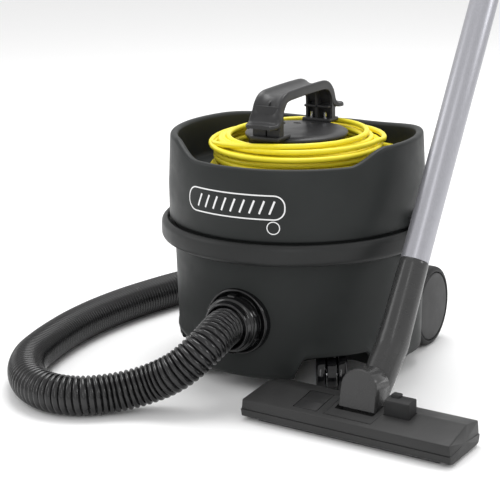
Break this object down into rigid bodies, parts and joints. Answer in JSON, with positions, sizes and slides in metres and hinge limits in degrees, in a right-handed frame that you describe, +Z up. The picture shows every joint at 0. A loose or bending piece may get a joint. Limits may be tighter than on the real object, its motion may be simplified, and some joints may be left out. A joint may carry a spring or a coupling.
{
  "type": "canister vacuum cleaner",
  "caption": "Round tub vacuum cleaner on casters and rear wheels, with a stretch hose, tube wand, combination floor tool and a mains cord wound in the bowl of its head.",
  "frame": {"origin": "on the floor, under the middle of the box around the cleaner, its floor tool and its wand, without the hose and the mains cord", "axes": "+Z up along the longest extent; -Y towards the front, where the hose enters; +X to the cleaner's right seen from the front"},
  "size_m": [0.7586, 1.1852, 0.952],
  "materials": {
    "drum_plastic": "satin injection-moulded, fine grain",
    "hood_plastic": "satin injection-moulded, fine grain",
    "band_plastic": "satin, polished round edge",
    "handle_plastic": "satin moulded",
    "gloss_black": "gloss moulded black",
    "caster_black": "gloss black",
    "tyre_rubber": "matt black tyre",
    "hubcap_grey": "satin grey disc",
    "wheel_core": "moulded",
    "hose_plastic": "glossy corrugated black",
    "cord_yellow": "smooth yellow flex",
    "wand_metal": "satin anodised tube",
    "tool_plastic": "satin moulded",
    "pedal_plastic": "matt moulded",
    "bristle": "dense black bristle",
    "sole_steel": "brushed sheet",
    "bare_steel": "bright plated",
    "bag_fleece": "non-woven fleece",
    "filter_cloth": "woven filter cloth",
    "seal_rubber": "soft black rubber",
    "inner_plastic": "moulded",
    "motor_steel": "pressed steel",
    "copper": "enamelled windings",
    "foam": "open-cell foam",
    "board": "circuit board",
    "switch_red": "gloss red rocker",
    "cuff_rubber": "soft black cuff",
    "slider_grey": "moulded grey"
  },
  "bodies": {
    "tub": {"drum": "drum_plastic", "rim_band": "band_plastic", "inlet_flange": "gloss_black", "rear_axle": "bare_steel", "dust_bag": "bag_fleece", "filter_cone": "filter_cloth", "filter_ring": "inner_plastic", "head_seal": "seal_rubber", "motor_plate": "inner_plastic", "fan_housing": "motor_steel", "motor_frame": "motor_steel", "motor_bearings": "bare_steel", "exhaust_foam": "foam", "circuit_board": "board", "head_shell": "hood_plastic", "exhaust_grille": "inner_plastic", "switch_bezel": "gloss_black", "winding_hub": "inner_plastic", "hub_disc": "handle_plastic", "carry_handle": "handle_plastic", "handle_screws": "bare_steel", "clip_pins": "bare_steel", "cord_gland": "seal_rubber", "mains_lead": "cord_yellow", "mains_coil": "cord_yellow", "mains_tail": "cord_yellow", "mains_plug": "gloss_black", "hose_tube": "hose_plastic", "end_cuff": "cuff_rubber", "bend_tube": "gloss_black"},
    "wheel_left": {"tyre_left": "tyre_rubber", "wheel_disc_left": "wheel_core", "hubcap_left": "hubcap_grey"},
    "wheel_right": {"tyre_right": "tyre_rubber", "wheel_disc_right": "wheel_core", "hubcap_right": "hubcap_grey"},
    "caster_left": {"caster_fork_left": "caster_black", "caster_axle_left": "bare_steel", "caster_pin_left": "bare_steel"},
    "caster_left_wheels": {"caster_wheels_left": "caster_black"},
    "caster_right": {"caster_fork_right": "caster_black", "caster_axle_right": "bare_steel", "caster_pin_right": "bare_steel"},
    "caster_right_wheels": {"caster_wheels_right": "caster_black"},
    "left_clip": {"clip_left": "handle_plastic"},
    "right_clip": {"clip_right": "handle_plastic"},
    "connector": {"inlet_connector": "gloss_black"},
    "slider": {"airflow_slider": "slider_grey"},
    "rotor": {"motor_rotor": "copper"},
    "rocker": {"rocker_switch": "switch_red"},
    "floor_tool": {"tool_housing": "tool_plastic", "sole_plate": "sole_steel", "neck_pin": "bare_steel"},
    "brush": {"brush_strips": "bristle"},
    "left_pedal": {"pedal_left": "pedal_plastic"},
    "right_pedal": {"pedal_right": "pedal_plastic"},
    "rollers": {"tool_rollers": "slider_grey"},
    "neck_body": {"neck": "tool_plastic"},
    "wand": {"wand_lower": "wand_metal"},
    "wand_end": {"wand_upper": "wand_metal"}
  },
  "joints": [
    {"name": "rear_wheel_left_spin", "type": "hinge", "parent": "tub", "child": "wheel_left", "pos_m": [-0.1848, 0.0432, 0.05], "axis": [1, 0, 0], "continuous": true},
    {"name": "rear_wheel_right_spin", "type": "hinge", "parent": "tub", "child": "wheel_right", "pos_m": [0.0492, 0.0432, 0.05], "axis": [1, 0, 0], "continuous": true},
    {"name": "caster_left_swivel", "type": "hinge", "parent": "tub", "child": "caster_left", "pos_m": [-0.1558, -0.1528, 0.04], "axis": [0, 0, 1], "continuous": true},
    {"name": "caster_right_swivel", "type": "hinge", "parent": "tub", "child": "caster_right", "pos_m": [0.0202, -0.1528, 0.04], "axis": [0, 0, 1], "continuous": true},
    {"name": "caster_left_spin", "type": "hinge", "parent": "caster_left", "child": "caster_left_wheels", "pos_m": [-0.14923, -0.16516, 0.021], "axis": [0.8829, 0.4695, 0], "continuous": true},
    {"name": "caster_right_spin", "type": "hinge", "parent": "caster_right", "child": "caster_right_wheels", "pos_m": [0.02677, -0.16516, 0.021], "axis": [0.8829, 0.4695, 0], "continuous": true},
    {"name": "clip_left_open", "type": "hinge", "parent": "tub", "child": "left_clip", "pos_m": [-0.2298, -0.0688, 0.151], "axis": [0, -1, 0], "range_deg": [0, 75]},
    {"name": "clip_right_open", "type": "hinge", "parent": "tub", "child": "right_clip", "pos_m": [0.0942, -0.0688, 0.151], "axis": [0, 1, 0], "range_deg": [0, 75]},
    {"name": "connector_twist", "type": "hinge", "parent": "tub", "child": "connector", "pos_m": [-0.0678, -0.2188, 0.086], "axis": [0, -1, 0], "range_deg": [0, 45]},
    {"name": "airflow_slide", "type": "slide", "parent": "tub", "child": "slider", "axis": [0, 1, 0], "range_m": [0, 0.014]},
    {"name": "fan_spin", "type": "hinge", "parent": "tub", "child": "rotor", "pos_m": [-0.0678, -0.0688, 0.2], "axis": [0, 0, 1], "continuous": true},
    {"name": "switch_rock", "type": "hinge", "parent": "tub", "child": "rocker", "pos_m": [-0.0678, 0.0582, 0.262], "axis": [0, -1, 0], "range_deg": [0, 12]},
    {"name": "tool_push", "type": "slide", "parent": "tub", "child": "floor_tool", "axis": [-0.0872, -0.9962, 0], "range_m": [0, 0.2]},
    {"name": "pedal_right_press", "type": "slide", "parent": "floor_tool", "child": "right_pedal", "axis": [0, 0, -1], "range_m": [0, 0.016]},
    {"name": "pedal_left_rise", "type": "slide", "parent": "floor_tool", "child": "left_pedal", "axis": [0, 0, 1], "range_m": [0, 0.016]},
    {"name": "brush_lift", "type": "slide", "parent": "floor_tool", "child": "brush", "axis": [0, 0, 1], "range_m": [0, 0.005]},
    {"name": "tool_roller_spin", "type": "hinge", "parent": "floor_tool", "child": "rollers", "pos_m": [0.11133, -0.24985, 0.005], "axis": [0.9962, -0.0872, 0], "continuous": true},
    {"name": "neck_tilt", "type": "hinge", "parent": "floor_tool", "child": "neck_body", "pos_m": [0.11264, -0.25217, 0.024], "axis": [-0.9962, 0.0872, 0], "range_deg": [-28, 32]},
    {"name": "wand_swivel", "type": "hinge", "parent": "neck_body", "child": "wand", "pos_m": [0.12019, -0.16576, 0.13596], "axis": [0.0436, 0.4981, 0.866], "range_deg": [-90, 90]},
    {"name": "wand_end_pull", "type": "slide", "parent": "wand", "child": "wand_end", "axis": [0.0436, 0.4981, 0.866], "range_m": [0, 0.06]}
  ],
  "couplings": [
    {"joint": "pedal_left_rise", "follows": "pedal_right_press", "ratio": 1},
    {"joint": "brush_lift", "follows": "pedal_right_press", "ratio": 0.3125}
  ]
}
